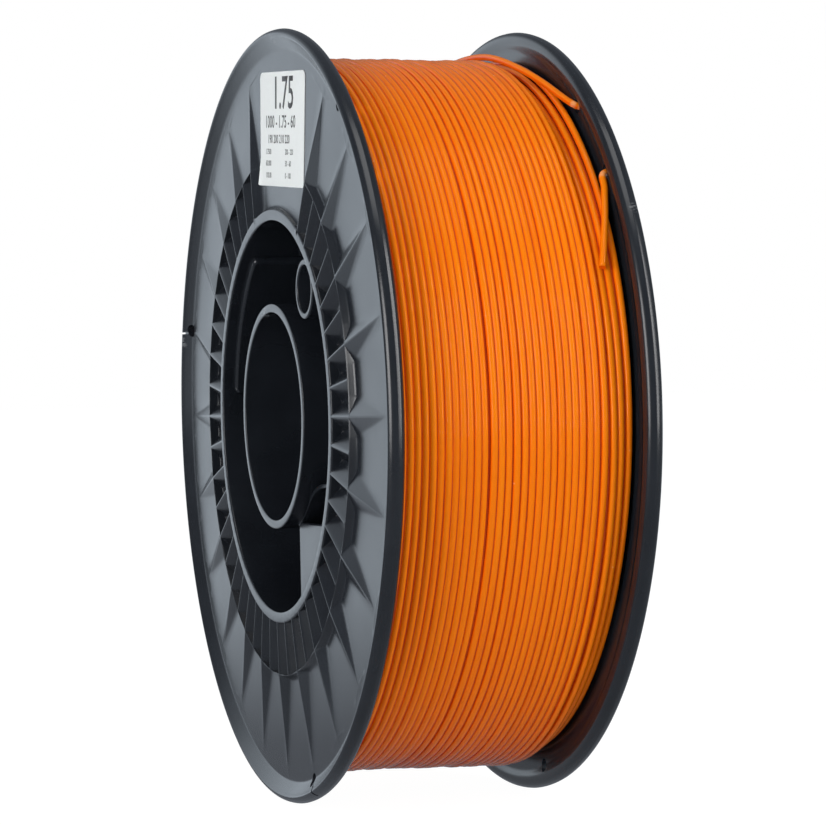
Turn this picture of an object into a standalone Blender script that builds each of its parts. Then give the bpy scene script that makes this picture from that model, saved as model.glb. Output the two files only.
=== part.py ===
"""Filament spool, 200 mm across and 68 mm wide, wound full of 1.75 mm orange filament.

The spool is two equal half mouldings that plug into each other. Each has an outer flange with a
ring of ribs and a star of pyramids, one half of the winding drum, one half of the spindle tube, a
web that joins them, a through tube for a drive pin and a tongue that slides into the other half.
The filament is a plain core of inner layers, one wound outer layer, and its loose end, which is
locked through two holes in the rear flange. A paper label lies on the front flange.

Metres. The axis runs along Y through the origin, the labelled front flange faces -Y, +Z is up.
Angles go round the axis from +X towards +Z. Depths count from a half's own outer plane inwards.
"""
import math

import bmesh
import bpy
from mathutils import Matrix, Vector

MM = 0.001

# Spool
SPOOL_WIDTH = 68.0 * MM
FLANGE_RADIUS = 100.0 * MM
FLANGE_THICKNESS = 3.8 * MM
PLATE_DEPTH = 2.3 * MM
PART_GAP = 0.3 * MM

# Rim of a flange, from the plate outwards
RIM_WIDTH = 6.4 * MM
RIM_FLANK_WIDTH = 4.4 * MM
RIM_EDGE_ROUND = 0.8 * MM
RIM_CREST_WIDTH = 0.6 * MM
RIM_FACETS = 96

# Drum, spindle tube and web of a half
DRUM_RADIUS = 53.7 * MM
DRUM_WALL = 2.9 * MM
DRUM_END_DEPTH = 0.1 * MM
SPINDLE_BORE_RADIUS = 26.5 * MM
SPINDLE_TUBE_WALL = 3.0 * MM
SPINDLE_END_DEPTH = 0.15 * MM
WEB_THICKNESS = 2.7 * MM
HUB_FACETS = 48

# Ribs between the drum and the collar, and the pyramids outside the collar
RIB_COUNT = 48
RIB_HALF_WIDTH = 3.05 * MM
RIB_FLOOR_DEPTH = 3.06 * MM
RIB_LENGTH = 13.3 * MM
COLLAR_DEPTH = 0.35 * MM
COLLAR_FLARE = 1.2 * MM
SPIKE_TIP_FROM_RIM = 2.6 * MM
SPIKE_STEP_IN_RIBS = 2
# The plate is bare for the label from this rib to that one, counted from +X
BARE_FIRST_RIB = 8
BARE_LAST_RIB = 14
BARE_RIB_HALF_WIDTH = 2.3 * MM
BARE_SPIKE_HALF_WIDTH = 3.6 * MM

# Through tube for a drive pin
PIN_TUBE_ANGLE = 45.0
PIN_TUBE_INSET = 5.8 * MM
PIN_TUBE_RADIUS = 7.5 * MM
PIN_HOLE_RADIUS = 6.0 * MM
PIN_TUBE_FACETS = 24

# Tongue that slides into the other half, and the floor that carries it
TONGUE_ANGLES = (-83.0, -37.0)
TONGUE_WALL = 2.7 * MM
TONGUE_END_DEPTH = 3.2 * MM
FLOOR_DEPTH = 4.3 * MM
FLOOR_THICKNESS = 2.0 * MM
FLOOR_EDGE_X = 8.6 * MM
FLOOR_EDGE_Z = -27.3 * MM
SCOOP_WALL = 1.2 * MM
SCOOP_DEPTH = 12.0 * MM
# Its (x, z) points as shares of the drum's inner radius
SCOOP_LINE = (
    (0.175, -0.551), (0.295, -0.484), (0.413, -0.406), (0.531, -0.358), (0.669, -0.343), (0.951, -0.339),
)
GUIDE_HEIGHT = 2.2 * MM
GUIDE_WIDTH = 1.2 * MM
GUIDE_DEPTH = 3.0 * MM
GUIDE_SPACING = 9.0

# Holes near the rim that lock the filament's end; two of them run out through the rim as slits
END_HOLE_FROM_EDGE = 5.0 * MM
END_HOLE_RADIUS = 1.75 * MM
END_HOLE_FACETS = 12
END_HOLE_ANGLES = (-75.0, 37.5, 52.5, 165.0)
SLIT_WIDTH = 0.9 * MM
SLIT_RIM_ANGLES = {-75.0: -71.2, 165.0: 161.2}

# Filament
FILAMENT_DIAMETER = 1.75 * MM
WINDING_BELOW_EDGE = 7.3 * MM
TURN_SPACE = 0.65 * MM
LEAST_TURN_GAP = 0.4 * MM
POINTS_PER_TURN = 24
TURN_ROUNDNESS = 1
WINDING_START_ANGLE = 210.0

# The loose end's way over the wound turns: angle, rise as a share of one strand's pass over another,
# and distance in front of the rear flange in strand diameters. It then runs out through one hole of
# that flange, back in through the next, and its cut tip lies on the turns again
END_CLIMB = ((203.0, 0.48, 0.66), (196.0, 0.83, 0.8), (188.0, 1.0, 1.14))
END_CROSSING = (
    (176.0, 1.0, 2.0), (164.0, 1.0, 3.03), (152.0, 1.0, 4.06), (140.0, 1.0, 4.91),
    (128.0, 1.0, 5.49), (116.0, 1.0, 5.66), (104.0, 1.0, 5.43), (94.0, 1.0, 4.97),
    (84.0, 1.0, 4.4), (76.0, 1.0, 3.94), (68.0, 1.0, 3.03), (62.0, 1.1, 1.89),
)
END_LEAD_IN = 1.9 * MM
END_HOOK = 0.9 * MM
END_FREE_TIP = ((33.0, 1.1, 0.74), (29.0, 1.0, 1.54), (25.0, 1.0, 2.46), (21.5, 1.0, 3.26))

# Label
LABEL_WIDTH = 41.0 * MM
LABEL_MARGIN = 5.2 * MM
LABEL_CORNER = 2.0 * MM
LABEL_PAPER = 0.12 * MM
LABEL_ANGLE = 83.4
LABEL_OUTWARD = 0.75 * MM
LABEL_TURN = -5.4
LABEL_GLUE_GAP = 0.05 * MM

BLACK = (0.020, 0.022, 0.026, 1.0)
ORANGE = (0.95, 0.28, 0.005, 1.0)
PAPER = (0.86, 0.88, 0.88, 1.0)

half_width = SPOOL_WIDTH / 2
rim_foot_radius = FLANGE_RADIUS - RIM_WIDTH
spike_tip_radius = rim_foot_radius - SPIKE_TIP_FROM_RIM
mid_plane_depth = half_width - PART_GAP / 2
web_depth = mid_plane_depth - WEB_THICKNESS
drum_bore_radius = DRUM_RADIUS - DRUM_WALL
spindle_tube_radius = SPINDLE_BORE_RADIUS + SPINDLE_TUBE_WALL
collar_radius = DRUM_RADIUS + RIB_LENGTH
tongue_radius = drum_bore_radius - PART_GAP
pin_tube_place_radius = drum_bore_radius - PIN_TUBE_INSET
end_hole_place_radius = FLANGE_RADIUS - END_HOLE_FROM_EDGE
filament_radius = FILAMENT_DIAMETER / 2
turn_radius = FLANGE_RADIUS - WINDING_BELOW_EDGE - filament_radius
pass_over = FILAMENT_DIAMETER + 1.2 * PART_GAP
end_outside_y = half_width - PLATE_DEPTH + filament_radius + 1.3 * PART_GAP
winding_half_width = half_width - FLANGE_THICKNESS - PART_GAP
first_turn_y = filament_radius - winding_half_width
outer_turns = int(-2 * first_turn_y / (FILAMENT_DIAMETER + TURN_SPACE))
turn_pitch = -2 * first_turn_y / outer_turns
label_height = rim_foot_radius - DRUM_RADIUS - 2 * LABEL_MARGIN
label_place_radius = (rim_foot_radius + DRUM_RADIUS) / 2 + LABEL_OUTWARD


def clear_scene():
    for item in list(bpy.data.objects):
        bpy.data.objects.remove(item, do_unlink=True)


def material(name, colour, roughness):
    made = bpy.data.materials.new(name)
    made.use_nodes = True
    shader = made.node_tree.nodes["Principled BSDF"]
    shader.inputs["Base Color"].default_value = colour
    shader.inputs["Roughness"].default_value = roughness
    shader.inputs["Metallic"].default_value = 0.0
    return made


def add_object(name, mesh, finish):
    item = bpy.data.objects.new(name, mesh)
    bpy.context.collection.objects.link(item)
    if finish is None:
        item.hide_render = True
        item.display_type = "WIRE"
    else:
        mesh.materials.append(finish)
    return item


def finished_mesh(shape, name):
    """A mesh from a bmesh, its faces turned outwards."""
    bmesh.ops.recalc_face_normals(shape, faces=shape.faces[:])
    mesh = bpy.data.meshes.new(name)
    shape.to_mesh(mesh)
    shape.free()
    return mesh


def at(radius, angle, depth):
    """A point of the front half: radius and degrees round the axis, and depth from its face."""
    turn = math.radians(angle)
    return Vector((radius * math.cos(turn), depth - half_width, radius * math.sin(turn)))


def round_axis(radius, angle, y):
    turn = math.radians(angle)
    return Vector((radius * math.cos(turn), y, radius * math.sin(turn)))


# Flange, drum, web and spindle tube: one skin of rings joined by faces

def ring(shape, radius, depth, count, first_angle=0.0):
    step = 360.0 / count
    return [shape.verts.new(at(radius, first_angle + i * step, depth)) for i in range(count)]


def join_rings(shape, fine, coarse):
    """Faces between two rings; the first may have a whole number of times the other's points."""
    share = len(fine) // len(coarse)
    for i, corner in enumerate(coarse):
        fine_side = [fine[(i * share + k) % len(fine)] for k in range(share + 1)]
        shape.faces.new([corner] + fine_side + [coarse[(i + 1) % len(coarse)]])


def across_flats(radius):
    """The corner radius of the rim's polygon, so that its flats lie on the real radius."""
    return radius / math.cos(math.pi / RIM_FACETS)


def add_rim(shape):
    """The rim from the plate's edge over the crest to the inner face; gives its two edge rings."""
    flank_end = rim_foot_radius + RIM_FLANK_WIDTH
    crest_end = FLANGE_RADIUS - RIM_EDGE_ROUND
    corner = 0.3 * RIM_EDGE_ROUND
    profile = (
        (rim_foot_radius, PLATE_DEPTH),
        (rim_foot_radius + 0.25 * RIM_FLANK_WIDTH, 0.92 * PLATE_DEPTH),
        (rim_foot_radius + 0.5 * RIM_FLANK_WIDTH, 0.68 * PLATE_DEPTH),
        (flank_end, 0.13 * PLATE_DEPTH),
        (crest_end - RIM_CREST_WIDTH, 0.0),
        (crest_end, 0.0),
        (FLANGE_RADIUS - corner, corner),
        (FLANGE_RADIUS, RIM_EDGE_ROUND),
        (FLANGE_RADIUS, FLANGE_THICKNESS - RIM_EDGE_ROUND),
        (crest_end, FLANGE_THICKNESS),
    )
    half_step = 180.0 / RIM_FACETS
    rings = [ring(shape, across_flats(r), d, RIM_FACETS, half_step) for r, d in profile]
    for outer, inner in zip(rings[1:], rings):
        join_rings(shape, outer, inner)
    return rings[0], rings[-1]


def add_hub(shape):
    """Drum half, web and spindle tube half, from the drum's front edge round to its back edge."""
    profile = (
        (drum_bore_radius, DRUM_END_DEPTH),
        (drum_bore_radius, web_depth),
        (spindle_tube_radius, web_depth),
        (spindle_tube_radius, SPINDLE_END_DEPTH),
        (SPINDLE_BORE_RADIUS, SPINDLE_END_DEPTH),
        (SPINDLE_BORE_RADIUS, mid_plane_depth),
        (DRUM_RADIUS, mid_plane_depth),
        (DRUM_RADIUS, FLANGE_THICKNESS),
    )
    rings = [ring(shape, radius, depth, HUB_FACETS) for radius, depth in profile]
    for first, second in zip(rings, rings[1:]):
        join_rings(shape, first, second)
    return rings[0], rings[-1]


def is_bare(rib):
    """Whether the bay that starts at this rib is the label's bare plate."""
    return BARE_FIRST_RIB <= rib % RIB_COUNT < BARE_LAST_RIB


def beside(shape, radius, rib, offset, depth):
    """A corner beside a rib's line, at a distance square to it."""
    angle = rib * 360.0 / RIB_COUNT + math.degrees(math.asin(offset / radius))
    return shape.verts.new(at(radius, angle, depth))


def add_ribs(shape, drum_edge, crest):
    """Roof-shaped ribs between the drum's edge and the collar's crest, both with two points a rib.

    Gives, for each rib, the corner beside it on the drum's foot where the bare plate starts or ends.
    """
    bare_feet = {}
    for rib in range(RIB_COUNT):
        if is_bare(rib):
            continue
        here, there = 2 * rib, 2 * (rib + 1) % (2 * RIB_COUNT)
        drum_near = beside(shape, DRUM_RADIUS, rib, RIB_HALF_WIDTH, RIB_FLOOR_DEPTH)
        drum_far = beside(shape, DRUM_RADIUS, rib + 1, -RIB_HALF_WIDTH, RIB_FLOOR_DEPTH)
        collar_near = beside(shape, collar_radius, rib, RIB_HALF_WIDTH, RIB_FLOOR_DEPTH)
        collar_far = beside(shape, collar_radius, rib + 1, -RIB_HALF_WIDTH, RIB_FLOOR_DEPTH)
        shape.faces.new((drum_edge[here], crest[here], collar_near, drum_near))
        shape.faces.new((drum_near, collar_near, collar_far, drum_far))
        shape.faces.new((drum_far, collar_far, crest[there], drum_edge[there]))
        shape.faces.new((drum_edge[here], drum_near, drum_far, drum_edge[there], drum_edge[here + 1]))
        shape.faces.new((crest[here], crest[here + 1], crest[there], collar_far, collar_near))
    for rib, side in ((BARE_FIRST_RIB, 1), (BARE_LAST_RIB, -1)):
        bare_feet[rib] = beside(shape, DRUM_RADIUS, rib, side * BARE_RIB_HALF_WIDTH, PLATE_DEPTH)
    return bare_feet


def add_star(shape, crest, drum_edge, bare_feet, plate_edge):
    """Pyramids outside the collar, the collar's flared wall between them, and the plate."""
    rib_step = 360.0 / RIB_COUNT
    flare_radius = collar_radius + COLLAR_FLARE
    edge_share = len(plate_edge) // RIB_COUNT
    tips = {}
    for rib in range(0, RIB_COUNT, SPIKE_STEP_IN_RIBS):
        if not (BARE_FIRST_RIB < rib < BARE_LAST_RIB):
            tips[rib] = shape.verts.new(at(spike_tip_radius, rib * rib_step, PLATE_DEPTH))
    for rib in tips:
        if is_bare(rib):
            continue
        last = (rib + SPIKE_STEP_IN_RIBS) % RIB_COUNT
        top = [crest[(2 * rib + i) % len(crest)] for i in range(2 * SPIKE_STEP_IN_RIBS + 1)]
        foot = [
            shape.verts.new(at(flare_radius, (rib + i / 2) * rib_step, PLATE_DEPTH))
            for i in range(1, 2 * SPIKE_STEP_IN_RIBS)
        ]
        shape.faces.new((top[0], top[1], foot[0]))
        for i in range(len(foot) - 1):
            shape.faces.new((top[i + 1], top[i + 2], foot[i + 1], foot[i]))
        shape.faces.new((top[-2], top[-1], foot[-1]))
        shape.faces.new((top[0], foot[0], tips[rib]))
        shape.faces.new((top[-1], tips[last], foot[-1]))
        edge_count = edge_share * SPIKE_STEP_IN_RIBS
        edge = [plate_edge[(rib * edge_share + i) % len(plate_edge)] for i in range(edge_count + 1)]
        shape.faces.new(foot + [tips[last]] + edge[::-1] + [tips[rib]])
    add_bare_plate(shape, crest, drum_edge, bare_feet, tips, plate_edge)


def add_bare_plate(shape, crest, drum_edge, bare_feet, tips, plate_edge):
    """The bare bay for the label, with the half ribs and half pyramids at its two sides."""
    first, last = BARE_FIRST_RIB, BARE_LAST_RIB
    edge_share = len(plate_edge) // RIB_COUNT
    flare_radius = collar_radius + COLLAR_FLARE
    shoulders = {
        first: beside(shape, flare_radius, first, BARE_SPIKE_HALF_WIDTH, PLATE_DEPTH),
        last: beside(shape, flare_radius, last, -BARE_SPIKE_HALF_WIDTH, PLATE_DEPTH),
    }
    for rib in (first, last):
        foot, shoulder = bare_feet[rib], shoulders[rib]
        shape.faces.new((drum_edge[2 * rib], crest[2 * rib], shoulder, foot))
        shape.faces.new((crest[2 * rib], tips[rib], shoulder))
    rib_step = 360.0 / RIB_COUNT
    inner = [
        shape.verts.new(at(DRUM_RADIUS, rib * rib_step, PLATE_DEPTH))
        for rib in range(first + 1, last)
    ]
    foot_line = [bare_feet[first]] + inner + [bare_feet[last]]
    for i in range(len(foot_line) - 1):
        start = 2 * (first + i)
        top = [drum_edge[start + k] for k in range(3)]
        shape.faces.new([foot_line[i], foot_line[i + 1]] + top[::-1])
    edge = [plate_edge[i] for i in range(first * edge_share, last * edge_share + 1)]
    outline = foot_line + [shoulders[last], tips[last]] + edge[::-1] + [tips[first], shoulders[first]]
    shape.faces.new(outline)


def half_skin():
    shape = bmesh.new()
    plate_edge, back_edge = add_rim(shape)
    drum_front, drum_back = add_hub(shape)
    drum_edge = ring(shape, DRUM_RADIUS, DRUM_END_DEPTH, 2 * RIB_COUNT)
    crest = {i: None for i in range(2 * RIB_COUNT)}
    bare_points = range(2 * BARE_FIRST_RIB + 1, 2 * BARE_LAST_RIB)
    for i in crest:
        if i not in bare_points:
            crest[i] = shape.verts.new(at(collar_radius, i * 180.0 / RIB_COUNT, COLLAR_DEPTH))
    join_rings(shape, drum_edge, drum_front)
    join_rings(shape, back_edge, drum_back)
    bare_feet = add_ribs(shape, drum_edge, crest)
    add_star(shape, crest, drum_edge, bare_feet, plate_edge)
    bmesh.ops.triangulate(shape, faces=shape.faces[:])
    return finished_mesh(shape, "half_skin")


# Features inside the drum, added to or cut from the skin

def prism(outline, depth_from, depth_to, name):
    """A solid with an (x, z) outline, from one depth of the front half to another."""
    shape = bmesh.new()
    near = [shape.verts.new((x, depth_from - half_width, z)) for x, z in outline]
    far = [shape.verts.new((x, depth_to - half_width, z)) for x, z in outline]
    shape.faces.new(near)
    shape.faces.new(far)
    for i in range(len(outline)):
        j = (i + 1) % len(outline)
        shape.faces.new((near[i], near[j], far[j], far[i]))
    return add_object(name, finished_mesh(shape, name), None)


def polar(radius, angle):
    return (radius * math.cos(math.radians(angle)), radius * math.sin(math.radians(angle)))


def sector(inner, outer, start, end, step=5.0):
    """The outline of a ring sector."""
    count = max(1, round((end - start) / step))
    angles = [start + (end - start) * i / count for i in range(count + 1)]
    return [polar(outer, a) for a in angles] + [polar(inner, a) for a in reversed(angles)]


def disc(centre, radius, count):
    return [
        (centre[0] + radius * math.cos(2 * math.pi * (i + 0.5) / count),
         centre[1] + radius * math.sin(2 * math.pi * (i + 0.5) / count))
        for i in range(count)
    ]


def ribbon(line, width):
    """The outline of a band of one width along a line of (x, z) points."""
    points = [Vector(p) for p in line]
    left, right = [], []
    for i, here in enumerate(points):
        along = points[min(i + 1, len(points) - 1)] - points[max(i - 1, 0)]
        side = Vector((-along.y, along.x)).normalized() * width / 2
        left.append(here + side)
        right.append(here - side)
    return [tuple(p) for p in left + right[::-1]]


def combine(target, tool, operation):
    step = target.modifiers.new(tool.name, "BOOLEAN")
    step.operation = operation
    step.solver = "EXACT"
    step.object = tool


def floor_outline():
    """The floor that carries the tongue: a straight left edge, a straight top, then the drum."""
    reach = drum_bore_radius + DRUM_WALL / 4
    low = math.degrees(math.acos(FLOOR_EDGE_X / reach))
    high = math.degrees(math.asin(-FLOOR_EDGE_Z / reach))
    count = 8
    arc = [polar(reach, -low + (low - high) * i / count) for i in range(count + 1)]
    return [(FLOOR_EDGE_X, FLOOR_EDGE_Z)] + arc


def mirrored(angle):
    """Where the other half's feature at this angle lies, seen in this half."""
    return 2 * PIN_TUBE_ANGLE - angle


def add_inner_features(half):
    into_wall = DRUM_WALL / 4
    start, end = TONGUE_ANGLES
    pin_centre = polar(pin_tube_place_radius, PIN_TUBE_ANGLE)
    slack = math.degrees(PART_GAP / tongue_radius)
    beyond = SPOOL_WIDTH
    slot = sector(tongue_radius - TONGUE_WALL - PART_GAP, drum_bore_radius,
                  mirrored(end) - slack, mirrored(start) + slack)
    combine(half, prism(slot, web_depth - WEB_THICKNESS, beyond, "tongue_slot"), "DIFFERENCE")
    pin_tube = disc(pin_centre, PIN_TUBE_RADIUS, PIN_TUBE_FACETS)
    pin_top = DRUM_END_DEPTH + PART_GAP / 10
    combine(half, prism(pin_tube, pin_top, web_depth + WEB_THICKNESS / 2, "pin_tube"), "UNION")
    pin_hole = disc(pin_centre, PIN_HOLE_RADIUS, PIN_TUBE_FACETS)
    combine(half, prism(pin_hole, -beyond, beyond, "pin_hole"), "DIFFERENCE")
    floor_end = FLOOR_DEPTH + FLOOR_THICKNESS
    combine(half, prism(floor_outline(), FLOOR_DEPTH, floor_end, "tongue_floor"), "UNION")
    tongue = sector(tongue_radius - TONGUE_WALL, tongue_radius, start, end)
    tongue_end = SPOOL_WIDTH - TONGUE_END_DEPTH
    combine(half, prism(tongue, FLOOR_DEPTH + FLOOR_THICKNESS / 2, tongue_end, "tongue"), "UNION")
    scoop_line = [(x * drum_bore_radius, z * drum_bore_radius) for x, z in SCOOP_LINE]
    scoop = ribbon(scoop_line, SCOOP_WALL)
    scoop_end = FLOOR_DEPTH + SCOOP_DEPTH
    combine(half, prism(scoop, FLOOR_DEPTH - PART_GAP, scoop_end, "scoop_wall"), "UNION")
    guide_half_angle = math.degrees(GUIDE_WIDTH / 2 / drum_bore_radius)
    for name, angle in (
        ("guide_upper", mirrored(end) - GUIDE_SPACING),
        ("guide_lower", mirrored(start) + GUIDE_SPACING),
    ):
        guide = sector(drum_bore_radius - GUIDE_HEIGHT, drum_bore_radius + into_wall,
                       angle - guide_half_angle, angle + guide_half_angle)
        combine(half, prism(guide, GUIDE_DEPTH, web_depth + WEB_THICKNESS / 2, name), "UNION")


def keyhole(centre, radius, way_out, width, count):
    """The outline of a hole with a slit that runs out of it."""
    middle, far = Vector(centre), Vector(way_out)
    along = (far - middle).normalized()
    side = Vector((-along.y, along.x)) * width / 2
    first = math.atan2(along.y, along.x)
    spread = math.asin(width / 2 / radius)
    arc = []
    for i in range(count + 1):
        angle = first + spread + (2 * math.pi - 2 * spread) * i / count
        arc.append((middle.x + radius * math.cos(angle), middle.y + radius * math.sin(angle)))
    return arc + [tuple(far - side), tuple(far + side)]


def cut_end_holes(half):
    through = 2 * FLANGE_THICKNESS
    for number, angle in enumerate(END_HOLE_ANGLES, 1):
        centre = polar(end_hole_place_radius, angle)
        outline = disc(centre, END_HOLE_RADIUS, END_HOLE_FACETS)
        if angle in SLIT_RIM_ANGLES:
            way_out = polar(1.05 * FLANGE_RADIUS, SLIT_RIM_ANGLES[angle])
            outline = keyhole(centre, END_HOLE_RADIUS, way_out, SLIT_WIDTH, END_HOLE_FACETS)
        combine(half, prism(outline, -through, through, f"end_hole_{number}"), "DIFFERENCE")


def make_halves(finish):
    half = add_object("front_half", half_skin(), finish)
    add_inner_features(half)
    cut_end_holes(half)
    depsgraph = bpy.context.evaluated_depsgraph_get()
    whole = bpy.data.meshes.new_from_object(half.evaluated_get(depsgraph))
    half.modifiers.clear()
    half.data = whole
    rear = bpy.data.objects.new("rear_half", whole)
    bpy.context.collection.objects.link(rear)
    flip_axis = Vector((math.cos(math.radians(PIN_TUBE_ANGLE)), 0.0,
                        math.sin(math.radians(PIN_TUBE_ANGLE))))
    rear.matrix_world = Matrix.Rotation(math.pi, 4, flip_axis)


# Filament

def make_core(finish):
    """The inner layers, as one plain ring under the outer turns."""
    flat_turn_radius = turn_radius * math.cos(math.pi / POINTS_PER_TURN)
    outside = flat_turn_radius - filament_radius - PART_GAP
    inside = (DRUM_RADIUS + PART_GAP) / math.cos(math.pi / HUB_FACETS)
    shape = bmesh.new()
    rings = []
    for radius, y in (
        (inside, -winding_half_width), (outside, -winding_half_width),
        (outside, winding_half_width), (inside, winding_half_width),
    ):
        rings.append(ring(shape, radius, y + half_width, HUB_FACETS))
    for first, second in zip(rings, rings[1:] + rings[:1]):
        join_rings(shape, first, second)
    add_object("filament_core", finished_mesh(shape, "filament_core"), finish)


def turn_points():
    """The outer layer: one strand wound from the front flange to the rear, clockwise."""
    points = []
    for i in range(outer_turns * POINTS_PER_TURN + 1):
        turn = i / POINTS_PER_TURN
        angle = WINDING_START_ANGLE - 360.0 * turn
        points.append(round_axis(turn_radius, angle, first_turn_y + turn_pitch * turn))
    return points


def least_gap(points):
    """The least clear distance between one turn of a strand and the others."""
    least = math.inf
    for i, here in enumerate(points):
        for j in range(i + POINTS_PER_TURN // 2, min(len(points), i + 2 * POINTS_PER_TURN)):
            least = min(least, (points[j] - here).length)
    return least - FILAMENT_DIAMETER


def strand(name, points, roundness, finish):
    curve = bpy.data.curves.new(name, "CURVE")
    curve.dimensions = "3D"
    curve.bevel_depth = filament_radius
    curve.bevel_resolution = roundness
    curve.use_fill_caps = True
    spline = curve.splines.new("POLY")
    spline.points.add(len(points) - 1)
    for slot, place in zip(spline.points, points):
        slot.co = (place.x, place.y, place.z, 1.0)
    curve.materials.append(finish)
    item = bpy.data.objects.new(name, curve)
    bpy.context.collection.objects.link(item)


def smooth(points, steps):
    """Points along a smooth curve through the given ones."""
    padded = [2 * points[0] - points[1]] + points + [2 * points[-1] - points[-2]]
    made = []
    for a, b, c, d in zip(padded, padded[1:], padded[2:], padded[3:]):
        for i in range(steps):
            t = i / steps
            made.append(0.5 * (2 * b + (c - a) * t + (2 * a - 5 * b + 4 * c - d) * t * t
                               + (3 * b - a - 3 * c + d) * t ** 3))
    return made + [points[-1]]


def hole_passage(angle, towards):
    """The way of the strand through a hole of the rear flange, from inside to outside."""
    face = half_width - FLANGE_THICKNESS
    place, one = end_hole_place_radius, filament_radius
    return [
        round_axis(place + 0.11 * one, angle - 0.9 * towards, face - 1.37 * one),
        round_axis(place, angle - 0.1 * towards, face + 0.23 * one),
        round_axis(place - 0.23 * one, angle + 0.1 * towards, end_outside_y - 1.03 * one),
        round_axis(place - 1.03 * one, angle + 1.3 * towards, end_outside_y),
    ]


def end_points():
    """The loose end, from the last wound turn to its cut tip."""
    wound = turn_points()
    along = (wound[-1] - wound[-2]).normalized()
    start = wound[-1] + along * PART_GAP
    first_hole, second_hole = END_HOLE_ANGLES[2], END_HOLE_ANGLES[1]

    def over(place):
        angle, rise, from_flange = place
        return round_axis(turn_radius + rise * pass_over, angle,
                          winding_half_width - from_flange * FILAMENT_DIAMETER)

    middle = round_axis(end_hole_place_radius - 2.06 * filament_radius,
                        (first_hole + second_hole) / 2, end_outside_y)
    way_in = hole_passage(second_hole, 1)[::-1]
    lead = [round_axis(end_hole_place_radius - 0.8 * filament_radius, first_hole + 4.0,
                       winding_half_width - END_LEAD_IN)]
    hook = [round_axis(end_hole_place_radius - 0.69 * filament_radius, second_hole - 2.6,
                       winding_half_width - END_HOOK)]
    route = (
        [start, start + along * 1.5 * FILAMENT_DIAMETER]
        + [over(place) for place in END_CLIMB + END_CROSSING]
        + lead + hole_passage(first_hole, -1) + [middle] + way_in + hook
        + [over(place) for place in END_FREE_TIP]
    )
    return [start] + smooth(route[1:], 2)


def make_filament(finish):
    make_core(finish)
    points = turn_points()
    gap = least_gap(points)
    print(f"least gap between the outer turns: {gap / MM:.2f} mm")
    if gap < LEAST_TURN_GAP:
        raise ValueError("the outer turns lie too close together")
    strand("filament_outer_turns", points, TURN_ROUNDNESS, finish)
    strand("filament_end", end_points(), 2, finish)


# Label

def make_label(finish):
    """A sheet of paper with round corners on the bare plate, its lower left corner highest."""
    turn = math.radians(LABEL_TURN)
    centre = polar(label_place_radius, LABEL_ANGLE)
    half_w, half_h = LABEL_WIDTH / 2, label_height / 2
    outline = []
    for corner, (sx, sz) in enumerate(((1, 1), (-1, 1), (-1, -1), (1, -1))):
        for i in range(4):
            angle = math.radians(90.0 * corner + 30.0 * i)
            x = sx * (half_w - LABEL_CORNER) + LABEL_CORNER * math.cos(angle)
            z = sz * (half_h - LABEL_CORNER) + LABEL_CORNER * math.sin(angle)
            outline.append((centre[0] + x * math.cos(turn) - z * math.sin(turn),
                            centre[1] + x * math.sin(turn) + z * math.cos(turn)))
    back = PLATE_DEPTH - LABEL_GLUE_GAP
    label = prism(outline, back - LABEL_PAPER, back, "front_label")
    label.hide_render = False
    label.display_type = "TEXTURED"
    label.data.materials.append(finish)


def main():
    clear_scene()
    make_halves(material("black_plastic", BLACK, 0.38))
    make_filament(material("orange_filament", ORANGE, 0.42))
    make_label(material("label_paper", PAPER, 0.6))


main()
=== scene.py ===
"""Looks for the filament spool: finer half mouldings, the wound strand, its loose end and the label."""

import math

import bmesh
import bpy
from mathutils import Matrix, Vector, noise


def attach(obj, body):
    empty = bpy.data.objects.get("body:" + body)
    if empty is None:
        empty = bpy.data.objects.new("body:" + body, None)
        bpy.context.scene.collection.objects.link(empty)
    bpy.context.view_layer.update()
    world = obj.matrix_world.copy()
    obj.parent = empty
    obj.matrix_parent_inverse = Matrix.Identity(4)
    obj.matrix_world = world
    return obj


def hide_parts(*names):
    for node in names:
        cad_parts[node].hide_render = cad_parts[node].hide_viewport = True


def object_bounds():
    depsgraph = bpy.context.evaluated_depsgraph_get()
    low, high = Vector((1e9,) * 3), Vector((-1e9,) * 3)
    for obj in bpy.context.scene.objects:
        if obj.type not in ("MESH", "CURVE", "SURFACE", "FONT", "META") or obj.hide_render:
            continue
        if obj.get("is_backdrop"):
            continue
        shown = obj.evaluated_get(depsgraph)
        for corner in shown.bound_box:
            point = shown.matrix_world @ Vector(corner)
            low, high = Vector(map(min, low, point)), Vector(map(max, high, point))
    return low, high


bl_info = {
    "name": "Filament spool",
    "version": (1, 0, 0),
    "blender": (4, 5, 0),
    "location": "3D View > Sidebar > Spool",
    "description": "Builds a wound filament spool in its packed frame",
    "category": "Add Mesh",
}

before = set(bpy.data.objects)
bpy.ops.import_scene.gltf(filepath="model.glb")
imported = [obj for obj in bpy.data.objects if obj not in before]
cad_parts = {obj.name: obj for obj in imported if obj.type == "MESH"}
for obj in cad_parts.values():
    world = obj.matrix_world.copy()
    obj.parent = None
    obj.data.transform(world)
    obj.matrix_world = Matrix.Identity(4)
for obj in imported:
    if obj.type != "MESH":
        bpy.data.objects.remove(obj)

MM = 0.001
PIN_ANGLE = 45.0
BARE_FROM, BARE_TO = 60.0, 105.0


# Settings

def length(name, default, description):
    return bpy.props.FloatProperty(
        name=name, default=default, description=description, unit="LENGTH", min=0.0, precision=5)


def colour(name, default, description):
    return bpy.props.FloatVectorProperty(
        name=name, default=default, description=description, subtype="COLOR", size=4,
        min=0.0, max=1.0)


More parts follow.
